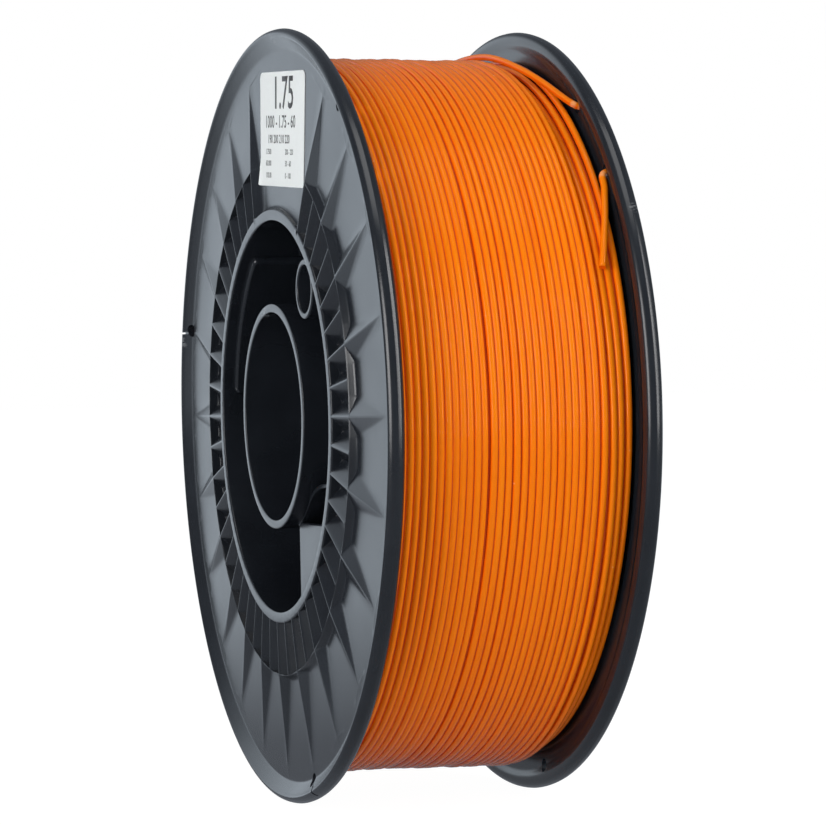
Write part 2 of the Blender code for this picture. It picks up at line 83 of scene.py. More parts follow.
class SpoolSizes(bpy.types.PropertyGroup):
    """Sizes of the spool's pieces"""

    half_width: length("Half width", 0.034, "From the middle of the spool to a flange's face")
    strand: length("Strand", 0.00174, "Diameter of the filament")
    wound_radius: length("Wound radius", 0.09165, "From the axis to the middle of the outer turns")
    turns: bpy.props.IntProperty(
        name="Turns", default=31, min=4, description="Turns of the outer layer")
    label_width: length("Label width", 0.0422, "Width of the label")
    label_height: length("Label height", 0.0295, "Height of the label")


class SpoolColours(bpy.types.PropertyGroup):
    """Colours of the spool's finishes"""

    plastic: colour("Plastic", (0.012, 0.0145, 0.019, 1.0), "Moulded plastic of the halves")
    filament: colour("Filament", (0.96, 0.214, 0.0025, 1.0), "Wound filament")
    paper: colour("Paper", (0.93, 0.965, 0.96, 1.0), "Label paper")
    floor: colour("Floor", (0.82, 0.82, 0.82, 1.0), "Floor under the spool")


# Helpers

def deselect():
    if bpy.context.object and bpy.context.object.mode != "OBJECT":
        bpy.ops.object.mode_set(mode="OBJECT")
    bpy.ops.object.select_all(action="DESELECT")


def only(*pieces):
    """Selects these pieces and makes the first one active."""
    deselect()
    for piece in pieces:
        piece.select_set(True)
    bpy.context.view_layer.objects.active = pieces[0]
    return pieces[0]


def joined(name, *pieces):
    only(*pieces)
    if len(pieces) > 1:
        bpy.ops.object.join()
    piece = bpy.context.object
    piece.name = piece.data.name = name
    return piece


def welded(piece, distance=0.00001):
    """Doubles merged and faces turned outwards."""
    only(piece)
    bpy.ops.object.mode_set(mode="EDIT")
    bpy.ops.mesh.select_all(action="SELECT")
    bpy.ops.mesh.remove_doubles(threshold=distance)
    bpy.ops.mesh.normals_make_consistent(inside=False)
    bpy.ops.object.mode_set(mode="OBJECT")
    return piece


def smoothed(piece, angle):
    only(piece)
    bpy.ops.object.shade_smooth_by_angle(angle=math.radians(angle), keep_sharp_edges=False)
    return piece


def flat_faces_first(piece):
    """Shading that keeps large faces flat and turns only in the narrow ones between them."""
    weighted = piece.modifiers.new("flat faces", "WEIGHTED_NORMAL")
    weighted.keep_sharp = True
    only(piece)
    bpy.ops.object.modifier_apply(modifier=weighted.name)
    return piece


def placed(piece):
    """Place, turn and scale written into the mesh."""
    only(piece)
    bpy.ops.object.transform_apply(location=True, rotation=True, scale=True)
    return piece


def finish_piece(piece, material, slot, *nodes):
    piece.data.materials.clear()
    piece.data.materials.append(material)
    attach(piece, "root")
    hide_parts(*nodes)
    return piece


def turned(angle):
    """Turn round the spool's axis, from +X towards +Z."""
    return Matrix.Rotation(-math.radians(angle), 4, "Y")


def on_axis(radius, angle, y):
    a = math.radians(angle)
    return Vector((radius * math.cos(a), y, radius * math.sin(a)))


def depth_place(depth):
    """Place along the spool's axis of a depth from the front flange's face."""
    return (depth - HALF_WIDTH) * MM


def soft_min(a, b, width):
    """The lesser of two, blended over a width where they are close."""
    if width <= 0.0:
        return min(a, b)
    share = min(1.0, max(0.0, 0.5 + 0.5 * (b - a) / width))
    return b + (a - b) * share - width * share * (1.0 - share)


# The half mouldings: all in millimetres and degrees. The rows of a profile are radius from the axis
# and depth from the flange's face.

LIP = ((50.8, 16.0), (50.8, 3.0), (50.8, 0.6), (50.86, 0.32), (51.02, 0.17), (51.3, 0.1),
       (52.3, 0.1), (53.2, 0.1), (53.45, 0.15), (53.62, 0.3), (53.7, 0.6))
RIB_ROWS = (53.7, 53.78, 53.95, 54.2, 54.6, 55.1, 55.8, 57.0, 60.0, 63.5, 65.8, 66.5, 66.8, 66.93,
            67.0)
CREST = ((67.0, 1.6), (67.0, 0.72), (67.03, 0.55), (67.1, 0.46), (67.2, 0.48), (67.3, 0.62),
         (67.42, 0.84), (67.7, 1.32), (67.95, 1.74))
STAR_ROWS = (68.2, 68.4, 68.7, 69.2, 70.2, 72.0, 75.0, 79.0, 83.0, 86.5, 89.0, 90.4, 91.0, 91.7,
             92.6)
RIM = ((93.0, 2.3), (94.0, 2.3), (94.45, 2.27), (94.8, 2.16), (95.2, 1.96), (96.2, 1.38), (97.1, 0.85),
       (97.6, 0.52), (97.95, 0.26), (98.2, 0.1), (98.45, 0.02), (98.65, 0.02), (98.85, 0.09),
       (99.04, 0.2), (99.2, 0.34), (99.46, 0.62), (99.62, 0.86), (99.76, 1.18), (99.88, 1.56),
       (99.96, 1.9), (100.0, 2.15), (99.98, 2.32), (99.82, 2.95), (99.76, 3.12), (99.6, 3.42),
       (99.35, 3.76), (99.0, 4.04), (98.55, 4.24), (97.9, 4.34), (97.2, 4.33), (96.5, 4.2),
       (95.8, 3.98), (95.2, 3.84), (94.6, 3.8), (93.0, 3.8), (84.0, 3.8), (68.0, 3.8), (53.7, 3.8))
BACK = ((53.7, 19.0), (53.7, 33.85), (40.0, 33.85), (27.0, 33.85))
TUBE = ((27.0, 20.0), (27.0, 8.0), (27.0, 0.42), (27.04, 0.28), (27.15, 0.19), (27.3, 0.15),
        (28.1, 0.15), (28.9, 0.15), (29.05, 0.19), (29.16, 0.28), (29.2, 0.42), (29.2, 8.0),
        (29.2, 20.0), (29.2, 30.7), (29.35, 31.02), (29.8, 31.15), (40.0, 31.15), (50.2, 31.15),
        (50.65, 31.02), (50.8, 30.7))
HALF_WIDTH = 34.0
DRUM, COLLAR = 53.7, 67.0
RIB_LENGTH, RIB_HALF_WIDTH = 13.3, 3.05
PLATE, VALLEY, FLANGE = 2.3, 3.06, 3.8
RIB_START, COLLAR_DEPTH = 0.1, 0.35
STAR_RISE, STAR_LENGTH, STAR_END = 1.95, 24.0, 91.2
STAR_SLOPE, BARE_SLOPE = 0.418, 0.52
HALF_STEP, RIB_HALF_STEP = 7.5, 3.75
RIDGE_ROUND = 0.38
FOOT_BLEND, FLOOR_BLEND = 0.45, 0.4
HOLE_RING = 95.0
PIN_RING, PIN_HOLE = 45.0, 6.0
HOLE_ANGLES = (-75.0, 37.5, 52.5, 165.0)


def ridge_depth(radius):
    """Depth of the ridge line over a rib and the pyramid outside it."""
    if radius <= COLLAR:
        return RIB_START + (COLLAR_DEPTH - RIB_START) * max(0.0, radius - DRUM) / RIB_LENGTH
    return COLLAR_DEPTH + STAR_RISE * (radius - COLLAR) / STAR_LENGTH


def rounded(distance):
    """Distance from a ridge line, blended so that the crest is round."""
    return math.hypot(distance, RIDGE_ROUND) - RIDGE_ROUND


def wall_fillet(distance, size):
    """How much a fillet lifts a floor at a distance from the wall."""
    if distance >= size:
        return 0.0
    return size - math.sqrt(size * size - (size - distance) ** 2)


def rib_depth(radius, aside):
    """Ribbed ring between the drum's lip and the collar; aside is the distance from a ridge."""
    slope = (VALLEY - RIB_START) / RIB_HALF_WIDTH
    depth = ridge_depth(radius) + slope * rounded(aside)
    floor = VALLEY - wall_fillet(radius - DRUM, 0.35) - wall_fillet(COLLAR - radius, 0.35)
    return soft_min(depth, floor, FLOOR_BLEND)


def star_depth(radius, aside):
    """Pyramid outside the collar."""
    return ridge_depth(radius) + STAR_SLOPE * rounded(aside)


def bare_rib_depth(radius, aside):
    """Half rib and half pyramid beside the bare plate."""
    slope = BARE_SLOPE
    if radius <= COLLAR:
        slope = (PLATE - ridge_depth(radius)) / foot_of_bare(radius)
    width = 1.3 - 0.8 * min(1.0, max(0.0, (radius - 63.0) / 8.0))
    floor = PLATE - wall_fillet(radius - DRUM, 1.9)
    return soft_min(ridge_depth(radius) + slope * rounded(aside), floor, width)


def foot_of_pyramid(radius, slope):
    """Distance from the ridge line at which a pyramid meets the plate."""
    return max(0.0, STAR_RISE * (1.0 - (radius - COLLAR) / STAR_LENGTH) / slope)


def foot_of_star(radius):
    return foot_of_pyramid(radius, STAR_SLOPE)


def foot_of_bare(radius):
    if radius <= COLLAR:
        return 2.3 + 1.35 * max(0.0, radius - DRUM) / RIB_LENGTH
    return foot_of_pyramid(radius, BARE_SLOPE)


def asides(foot, far, count, crease=None):
    """Distances from the ridge line of a row's corners: close together at the ridge and the foot."""
    small = min(1.0, foot / 1.2)
    near = [0.0, 0.13 * small, 0.4 * small]
    if crease is None:
        near += [foot - 0.4 * small, foot - 0.08 * small]
    else:
        near += [max(0.42, crease - 0.1), max(0.44, crease + 0.1)]
    near += [foot + 0.2 * small, foot + 0.55 * small]
    rest = count - len(near) + 1
    return near + [near[-1] + (far - near[-1]) * i / rest for i in range(1, rest + 1)]


def rib_angles(radius):
    """Angles of a row's corners over a ridge, the valley and the next ridge."""
    half = radius * math.sin(math.radians(RIB_HALF_STEP))
    first = [0.0, 0.13, 0.34, 0.8, 2.75, RIB_HALF_WIDTH, min(3.3, half - 0.12), half]
    angles = [math.degrees(math.asin(a / radius)) for a in first]
    return angles + [HALF_STEP - a for a in angles[-2::-1]]


def star_rows():
    """Rows of the plain profile, each a zone with radius and depth."""
    rows = [("lip", r, d) for r, d in LIP]
    rows += [("rib", r, None) for r in RIB_ROWS]
    rows += [("crest", r, d) for r, d in CREST]
    rows += [("star", r, None) for r in STAR_ROWS]
    rows += [("plain", r, d) for r, d in RIM + BACK + TUBE]
    return rows


def star_corner(row, i, count):
    """Angle and depth of corner i of a row in half a bay, from a ridge to the middle of the bay."""
    zone, radius, depth = row
    if zone in ("lip", "rib"):
        angle = rib_angles(max(radius, 53.0))[i]
        near = min(angle, HALF_STEP - angle)
        aside = radius * math.sin(math.radians(near))
        if zone == "rib":
            return angle, rib_depth(radius, aside)
        if radius > 53.0:
            return angle, min(depth, rib_depth(DRUM, aside))
        return angle, depth
    if zone == "crest":
        if depth > 0.7 and radius == COLLAR:
            angle = rib_angles(radius)[i]
            near = min(angle, HALF_STEP - angle)
            return angle, min(depth, rib_depth(COLLAR, radius * math.sin(math.radians(near))))
        far = radius * math.sin(math.radians(HALF_STEP))
        crease = 4.46 * (radius - COLLAR) / 1.2
        aside = asides(foot_of_star(radius), far, count, crease)[i]
        angle = math.degrees(math.asin(aside / radius))
        low = min(star_depth(radius, aside), depth)
        if HALF_STEP - angle < 3.0:
            beside = radius * math.sin(math.radians(HALF_STEP - angle))
            low = min(low, rib_depth(COLLAR, beside) + 1.7 * (radius - COLLAR))
        return angle, soft_min(low, PLATE, FOOT_BLEND)
    if zone == "star":
        far = radius * math.sin(math.radians(HALF_STEP))
        if radius > STAR_END:
            aside = far * i / count
        else:
            aside = asides(foot_of_star(radius), far, count)[i]
        angle = math.degrees(math.asin(aside / radius))
        low = min(star_depth(radius, aside), COLLAR_DEPTH + 1.625 * (radius - COLLAR))
        return angle, soft_min(low, PLATE, FOOT_BLEND)
    return HALF_STEP * i / count, depth


def bare_corner(row, i, count):
    """The same for half of the bare bay."""
    zone, radius, depth = row
    half = (BARE_TO - BARE_FROM) / 2
    if zone == "plain":
        return half * i / count, depth
    far = radius * math.sin(math.radians(half))
    aside = far * i / count
    if radius <= STAR_END:
        aside = asides(foot_of_bare(radius), far, count)[i]
    angle = math.degrees(math.asin(min(1.0, aside / radius)))
    if zone == "lip":
        if radius > 53.0:
            return angle, min(depth, bare_rib_depth(DRUM, aside))
        return angle, depth
    low = bare_rib_depth(radius, aside)
    if zone == "star":
        low = soft_min(ridge_depth(radius) + BARE_SLOPE * rounded(aside), PLATE, FOOT_BLEND)
        if radius < 71.0:
            low = min(low, bare_rib_depth(radius, aside))
    return angle, low


def bay(name, corner, half_angle, count):
    """Half a bay shaped from a grid, mirrored to a whole one about +X."""
    rows = star_rows()
    deselect()
    bpy.ops.mesh.primitive_grid_add(x_subdivisions=count, y_subdivisions=len(rows), size=1.0)
    piece = bpy.context.object
    for point in piece.data.vertices:
        i = round((point.co.x + 0.5) * count)
        j = round((point.co.y + 0.5) * len(rows)) % len(rows)
        angle, depth = corner(rows[j], i, count)
        point.co = on_axis(rows[j][1] * MM, half_angle - angle, depth_place(depth))
    mirror = piece.modifiers.new("other side", "MIRROR")
    mirror.use_axis = (False, False, True)
    mirror.merge_threshold = 0.000005
    bpy.ops.object.modifier_apply(modifier=mirror.name)
    piece.name = name
    return piece


def half_skin():
    """One half moulding: copied bays all round, and the bare bay for the label."""
    ribbed = bay("ribbed bay", star_corner, HALF_STEP, 14)
    around = 360.0 - (BARE_TO - BARE_FROM)
    copies = round(around / (2 * HALF_STEP))
    only(ribbed)
    ribbed.data.transform(turned(BARE_TO + HALF_STEP))
    bpy.ops.object.mode_set(mode="EDIT")
    bpy.ops.mesh.select_all(action="SELECT")
    bpy.ops.mesh.spin(
        steps=copies - 1, dupli=True, angle=math.radians(around - 2 * HALF_STEP),
        center=(0, 0, 0), axis=(0, 1, 0))
    bpy.ops.object.mode_set(mode="OBJECT")
    bare = bay("bare bay", bare_corner, (BARE_TO - BARE_FROM) / 2, 22)
    bare.data.transform(turned((BARE_FROM + BARE_TO) / 2))
    return welded(joined("half moulding", ribbed, bare))


def rounded_edges(piece, width, segments=3, angle=40, limit="ANGLE"):
    bevel = piece.modifiers.new("rounded edges", "BEVEL")
    bevel.width = width * MM
    bevel.segments = segments
    bevel.limit_method = limit
    bevel.angle_limit = math.radians(angle)
    only(piece)
    bpy.ops.object.modifier_apply(modifier=bevel.name)
    return piece


def ring_piece(name, inner, outer, front, back, first, last, steps):
    """Part of a ring between two radii, two depths and two angles, spun from its cross-section."""
    deselect()
    bpy.ops.mesh.primitive_plane_add(size=1.0)
    piece = bpy.context.object
    piece.name = name
    piece.data.transform(Matrix.Diagonal(((outer - inner) * MM, (back - front) * MM, 1.0, 1.0)))
    middle = ((inner + outer) / 2 * MM, depth_place((front + back) / 2), 0.0)
    piece.data.transform(turned(first) @ Matrix.Translation(middle))
    bpy.ops.object.mode_set(mode="EDIT")
    bpy.ops.mesh.select_all(action="SELECT")
    bpy.ops.mesh.spin(
        steps=steps, angle=math.radians(last - first), center=(0, 0, 0), axis=(0, 1, 0))
    bpy.ops.object.mode_set(mode="OBJECT")
    return welded(piece)


def post(name, radius, place, front, back, corners):
    """A round bar along the spool's axis."""
    deselect()
    bpy.ops.mesh.primitive_cylinder_add(
        vertices=corners, radius=radius * MM, depth=(back - front) * MM,
        rotation=(math.radians(90), 0, 0),
        location=(place[0] * MM, depth_place((front + back) / 2), place[1] * MM))
    piece = placed(bpy.context.object)
    piece.name = name
    return piece


def bar(name, start, end, width, front, back):
    """A straight bar between two places of the flange's face."""
    along = Vector((end[0] - start[0], end[1] - start[1]))
    deselect()
    bpy.ops.mesh.primitive_cube_add(size=1.0)
    piece = bpy.context.object
    piece.name = name
    middle = ((start[0] + end[0]) / 2 * MM, depth_place((front + back) / 2), (start[1] + end[1]) / 2 * MM)
    piece.data.transform(Matrix.Diagonal((along.length * MM, (back - front) * MM, width * MM, 1.0)))
    piece.data.transform(
        Matrix.Translation(middle) @ turned(math.degrees(math.atan2(along.y, along.x))))
    return piece


def flat_place(radius, angle):
    """Place on a flange's face, in millimetres."""
    a = math.radians(angle)
    return radius * math.cos(a), radius * math.sin(a)


def cut(piece, *cutters):
    """Takes the cutters' volume out of the piece."""
    for cutter in cutters:
        modifier = piece.modifiers.new("cut", "BOOLEAN")
        modifier.operation = "DIFFERENCE"
        modifier.solver = "EXACT"
        modifier.object = cutter
        only(piece)
        bpy.ops.object.modifier_apply(modifier=modifier.name)
        bpy.data.objects.remove(cutter)
    return piece


def pin_cutter():
    return post("pin hole", PIN_HOLE, flat_place(PIN_RING, PIN_ANGLE), -1.0, 40.0, 64)


def drive_pin_tube():
    tube = post("pin tube", 7.5, flat_place(PIN_RING, PIN_ANGLE), 0.13, 31.6, 64)
    return rounded_edges(cut(tube, pin_cutter()), 0.45)


def rounded_where(piece, chosen, width, segments, angle=40):
    """Rounds the sharp edges that have both ends at chosen places."""
    normals = {}
    for face in piece.data.polygons:
        for key in face.edge_keys:
            normals.setdefault(key, []).append(face.normal.copy())
    weights = piece.data.attributes.new("bevel_weight_edge", "FLOAT", "EDGE")
    for edge, weight in zip(piece.data.edges, weights.data):
        one, other = normals[edge.key]
        ends = [piece.data.vertices[i].co for i in edge.vertices]
        sharp = one.angle(other) > math.radians(angle)
        weight.value = 1.0 if sharp and all(chosen(end) for end in ends) else 0.0
    rounded_edges(piece, width, segments, limit="WEIGHT")
    piece.data.attributes.remove(piece.data.attributes["bevel_weight_edge"])
    return piece


def tongue():
    """Long curved tongue that reaches into the other half, its tip's corners and inner edges round."""
    inner, first, last = 49.1, -83.0, -33.0
    panel = ring_piece("tongue", inner, 50.85, 5.3, 64.8, first, last, 26)

    def at_corner(point):
        around = math.degrees(math.atan2(point.z, point.x))
        return point.y > depth_place(64.7) and min(abs(around - first), abs(around - last)) < 0.1

    def inside(point):
        return math.hypot(point.x, point.z) < (inner + 0.2) * MM

    return rounded_where(rounded_where(panel, at_corner, 3.2, 6), inside, 1.3, 5)


def pocket_floor():
    """Flat floor beside the tube, cut square on two sides."""
    disc = post("floor", 51.4, (0.0, 0.0), 4.3, 6.3, 128)
    only(disc)
    bpy.ops.object.mode_set(mode="EDIT")
    for normal, distance in (((1, 0, 0), 8.6), ((0, 0, -1), 27.3)):
        bpy.ops.mesh.select_all(action="SELECT")
        bpy.ops.mesh.bisect(
            plane_co=tuple(distance * MM * n for n in normal), plane_no=normal,
            use_fill=True, clear_inner=True)
    bpy.ops.object.mode_set(mode="OBJECT")
    return rounded_edges(disc, 0.5)


def scoop_wall():
    """Wavy wall that stands up from the floor's upper side."""
    line = [Vector((x, 0.0, z)) for x, z in (
        (8.9, -28.0), (15.0, -24.6), (21.0, -20.6), (27.0, -18.2), (34.0, -17.4), (48.3, -17.2))]
    line = smooth_line(line, 6)
    deselect()
    bpy.ops.mesh.primitive_grid_add(x_subdivisions=len(line) - 1, y_subdivisions=2, size=1.0)
    wall = bpy.context.object
    wall.name = "scoop wall"
    for point in wall.data.vertices:
        place = line[round((point.co.x + 0.5) * (len(line) - 1))] * MM
        depth = 4.0 + (point.co.y + 0.5) * 12.3
        point.co = (place.x, depth_place(depth), place.z)
    thick = wall.modifiers.new("wall", "SOLIDIFY")
    thick.thickness = 1.2 * MM
    thick.offset = 0.0
    only(wall)
    bpy.ops.object.modifier_apply(modifier=thick.name)
    return welded(rounded_edges(wall, 0.35, 2, 60), 0.000001)


def guide(angle):
    """Thin rib beside the slot for the other half's tongue."""
    rib = bar("guide", flat_place(48.6, angle), flat_place(51.2, angle), 1.2, 15.0, 31.6)
    return rounded_edges(rib, 0.3, 2)


def web_cutters():
    """Holes through the web and the flange, and grooves from two of them over the rim."""
    holes = [pin_cutter(), ring_piece("slot", 48.9, 50.9, 29.0, 38.0, 122.6, 173.4, 26)]
    holes += [post("end hole", 1.75, flat_place(HOLE_RING, angle), -2.0, 6.0, 24)
              for angle in HOLE_ANGLES]
    grooves = [bar("groove", flat_place(94.6, inner), flat_place(101.5, outer), 0.55, -2.0, 1.3)
               for inner, outer in ((-75.0, -71.0), (165.2, 166.4))]
    return joined("holes", *holes), joined("grooves", *grooves)


class SPOOL_OT_halves(bpy.types.Operator):
    """Front and rear half mouldings"""

    bl_idname = "spool.halves"
    bl_label = "Half mouldings"

    def execute(self, context):
        material = moulded_plastic(context.scene.spool_colours)
        skin = cut(half_skin(), *web_cutters())
        front = joined(
            "front_moulding", skin, drive_pin_tube(), tongue(), pocket_floor(), scoop_wall(),
            guide(118.0), guide(182.0))
        flat_faces_first(smoothed(front, 38))
        bpy.ops.object.duplicate(linked=False)
        rear = bpy.context.object
        rear.name = "rear_moulding"
        axis = Vector((math.cos(math.radians(PIN_ANGLE)), 0.0, math.sin(math.radians(PIN_ANGLE))))
        rear.data.transform(Matrix.Rotation(math.pi, 4, axis))
        finish_piece(front, material, "black_plastic", "front_half")
        finish_piece(rear, material, "black_plastic", "rear_half")
        return {"FINISHED"}


# Filament

def swept(name, points, radius, sides):
    """A closed tube along points; its length and its way round are UV, its bending an attribute."""
    shape = bmesh.new()
    uv_layer = shape.loops.layers.uv.new("strand")
    bend_layer = shape.verts.layers.float.new("bend")
    count = len(points)
    tangents = []
    for i in range(count):
        tangents.append((points[min(i + 1, count - 1)] - points[max(i - 1, 0)]).normalized())
    side = Vector((0.0, 1.0, 0.0))
    side = (side - tangents[0] * side.dot(tangents[0])).normalized()
    rings, travelled, lengths = [], 0.0, []
    for i, here in enumerate(points):
        side = (side - tangents[i] * side.dot(tangents[i])).normalized()
        up = tangents[i].cross(side)
        near = [tangents[m] for m in (max(0, i - 1), min(count - 1, i + 1))]
        stretch = (points[min(i + 1, count - 1)] - points[max(i - 1, 0)]).length
        bend = min(1.0, 2.0 * near[0].angle(near[1], 0.0) * radius / max(stretch, 0.1 * radius))
        ring = []
        for k in range(sides):
            a = 2 * math.pi * k / sides
            corner = shape.verts.new(
                here + side * (radius * math.cos(a)) + up * (radius * math.sin(a)))
            corner[bend_layer] = bend
            ring.append(corner)
        if i:
            travelled += (here - points[i - 1]).length
        rings.append(ring)
        lengths.append(travelled)
    for i in range(count - 1):
        for k in range(sides):
            m = (k + 1) % sides
            face = shape.faces.new((rings[i][k], rings[i + 1][k], rings[i + 1][m], rings[i][m]))
            face.smooth = True
            for loop, (u, v) in zip(face.loops, ((i, k), (i + 1, k), (i + 1, k + 1), (i, k + 1))):
                loop[uv_layer].uv = (lengths[u], v / sides)
    shape.faces.new(rings[0])
    shape.faces.new(rings[-1][::-1])
    bmesh.ops.recalc_face_normals(shape, faces=shape.faces[:])
    mesh = bpy.data.meshes.new(name)
    shape.to_mesh(mesh)
    shape.free()
    piece = bpy.data.objects.new(name, mesh)
    bpy.context.scene.collection.objects.link(piece)
    return piece


# Spare width after each turn of the outer layer, as shares
GAPS = (0.5, 0.5, 2.0, 0.3, 1.0, 1.0, 1.0, 0.2, 0.1, 0.1, 0.1, 2.2, 3.0, 0.2, 2.0, 1.0, 2.2, 0.2, 0.1,
        0.3, 0.2, 1.0, 0.2, 0.1, 1.0, 0.2, 0.1, 3.4, 3.8, 0.4, 2.5)


OUTER_STEPS, UNDER_STEPS = 120, 80


def wander(turn, angle, seed):
    """A slow irregular swing from -1 to 1 along a layer of turns."""
    a = math.radians(angle)
    return noise.noise(Vector((math.cos(a) * 0.9 + seed, math.sin(a) * 0.9, turn * 0.83)))


def gap_share(turn, turns):
    """How much of a layer's spare width is used up by the turns before this one."""
    place = turn / turns * len(GAPS)
    whole = min(len(GAPS) - 1, int(place))
    return (sum(GAPS[:whole]) + GAPS[whole] * (place - whole)) / sum(GAPS)


def bump_of(distance, width):
    return 0.5 + 0.5 * math.cos(math.pi * min(1.0, abs(distance) / width))


def turn_place(sizes, turns, place):
    """Place across the spool and distance from the axis of the strand after so many turns."""
    edge = sizes.half_width - 3.95 * MM
    first = sizes.strand / 2 - edge
    spare = -2 * first - turns * sizes.strand
    angle = 210.0 - 360.0 * place
    y = first + sizes.strand * place + spare * gap_share(place, turns)
    y += 0.20 * MM * wander(place, angle, 3.1)
    y = min(edge - sizes.strand / 2, max(-edge + sizes.strand / 2, y))
    across = place / turns
    from_top = (angle - 66.0 + 180.0) % 360.0 - 180.0
    from_foot = (angle + 95.0 + 180.0) % 360.0 - 180.0
    r = sizes.wound_radius + 0.32 * MM * wander(place * 1.7, angle, 10.4)
    r -= 2.1 * MM * bump_of(across - 0.925, 0.055) * bump_of(from_top, 75.0)
    r += 1.5 * MM * max(0.0, across - 0.35) / 0.65 * bump_of(from_foot, 100.0)
    r -= 3.4 * MM * bump_of(across - 1.0, 0.085) * bump_of(from_foot, 120.0)
    return angle, y, r


def outer_points(sizes):
    points = []
    for i in range(sizes.turns * OUTER_STEPS + 1):
        angle, y, r = turn_place(sizes, sizes.turns, i / OUTER_STEPS)
        points.append(on_axis(r, angle, y))
    return points


def under_points(sizes):
    """The layer below, whose turns lie under the grooves of the outer one."""
    points = []
    for i in range((sizes.turns - 1) * UNDER_STEPS + 1):
        place = i / UNDER_STEPS
        angle, y, r = turn_place(sizes, sizes.turns, place)
        _, next_y, next_r = turn_place(sizes, sizes.turns, place + 1.0)
        apart = max(0.0, (next_y - y) / sizes.strand - 1.0)
        low = min(r, next_r) - (0.20 + 0.9 * apart) * sizes.strand
        points.append(on_axis(low, angle, (y + next_y) / 2))
    return points


class SPOOL_OT_winding(bpy.types.Operator):
    """Outer layer of turns and the layer under it"""

    bl_idname = "spool.winding"
    bl_label = "Winding"

    def execute(self, context):
        sizes = context.scene.spool_sizes
        colours = context.scene.spool_colours
        outer = swept("outer_turns", outer_points(sizes), sizes.strand / 2, 16)
        under = swept("under_turns", under_points(sizes), sizes.strand / 2, 8)
        finish_piece(outer, orange_filament(colours), "orange_filament", "filament_outer_turns")
        finish_piece(under, shaded_filament(colours), "orange_filament", "filament_core")
        return {"FINISHED"}


# Route of the loose end: angle, height over the turns in rises, distance from the flange in strands
END_CLIMB = ((203.0, 0.48, 0.66), (196.0, 0.83, 0.8), (188.0, 1.0, 1.14))
END_CROSSING = (
    (176.0, 1.0, 2.0), (164.0, 1.0, 3.03), (152.0, 1.0, 4.06), (140.0, 1.0, 4.91),
    (128.0, 1.0, 5.49), (116.0, 1.0, 5.66), (104.0, 1.0, 5.43), (94.0, 1.0, 4.97),
    (84.0, 1.0, 4.4), (76.0, 1.0, 3.94), (68.0, 1.0, 3.03), (62.0, 1.1, 1.89),
)
END_FREE_TIP = ((33.0, 1.1, 0.74), (29.0, 1.0, 1.54), (25.0, 1.0, 2.46), (21.5, 1.0, 3.26))
FIRST_HOLE, SECOND_HOLE = HOLE_ANGLES[2], HOLE_ANGLES[1]
HOLE_RADIUS = HOLE_RING * MM


def smooth_line(points, steps):
    """Points along a smooth curve through the given ones."""
    padded = [2 * points[0] - points[1]] + points + [2 * points[-1] - points[-2]]
    made = []
    for a, b, c, d in zip(padded, padded[1:], padded[2:], padded[3:]):
        for i in range(steps):
            t = i / steps
            made.append(0.5 * (2 * b + (c - a) * t + (2 * a - 5 * b + 4 * c - d) * t * t
                               + (3 * b - a - 3 * c + d) * t ** 3))
    return made + [points[-1]]


def outer_side(sizes):
    """Place of the strand's middle where it lies on the rear flange's outer side."""
    return sizes.half_width - PLATE * MM + sizes.strand / 2 + 0.39 * MM


def hole_passage(angle, towards, sizes):
    """Way of the strand through one hole of the rear flange, from inside to outside."""
    face = sizes.half_width - FLANGE * MM
    one = sizes.strand / 2
    outside = outer_side(sizes)
    return [
        on_axis(HOLE_RADIUS + 0.11 * one, angle - 0.9 * towards, face - 1.37 * one),
        on_axis(HOLE_RADIUS, angle - 0.1 * towards, face + 0.23 * one),
        on_axis(HOLE_RADIUS - 0.23 * one, angle + 0.1 * towards, outside - 1.03 * one),
        on_axis(HOLE_RADIUS - 1.03 * one, angle + 1.3 * towards, outside),
    ]


def end_route(sizes, start, along):
    """Way of the loose end from the last turn, through both holes, to its tip."""
    rise = 1.01 * sizes.strand
    flange = sizes.half_width - 4.1 * MM
    one = sizes.strand / 2

    def over(place):
        angle, share, from_flange = place
        return on_axis(sizes.wound_radius + share * rise, angle, flange - from_flange * sizes.strand)

    halfway = (FIRST_HOLE + SECOND_HOLE) / 2
    middle = on_axis(HOLE_RADIUS - 2.06 * one, halfway, outer_side(sizes))
    lead = on_axis(HOLE_RADIUS - 0.8 * one, FIRST_HOLE + 4.0, flange - 1.9 * MM)
    hook = on_axis(HOLE_RADIUS - 0.69 * one, SECOND_HOLE - 2.6, flange - 0.9 * MM)
    route = [start, start + along * 1.5 * sizes.strand]
    route += [over(place) for place in END_CLIMB + END_CROSSING]
    route += [lead] + hole_passage(FIRST_HOLE, -1, sizes) + [middle]
    route += hole_passage(SECOND_HOLE, 1, sizes)[::-1] + [hook]
    return route + [over(place) for place in END_FREE_TIP]


class SPOOL_OT_loose_end(bpy.types.Operator):
    """Loose end of the filament, locked through two holes of the rear flange"""

    bl_idname = "spool.loose_end"
    bl_label = "Loose end"

    def execute(self, context):
        sizes = context.scene.spool_sizes
        wound = outer_points(sizes)
        along = (wound[-1] - wound[-2]).normalized()
        points = smooth_line(end_route(sizes, wound[-1], along), 8)
        piece = swept("loose_end", points, sizes.strand / 2, 16)
        finish_piece(piece, orange_filament(context.scene.spool_colours), "orange_filament",
                     "filament_end")
        return {"FINISHED"}


# Label

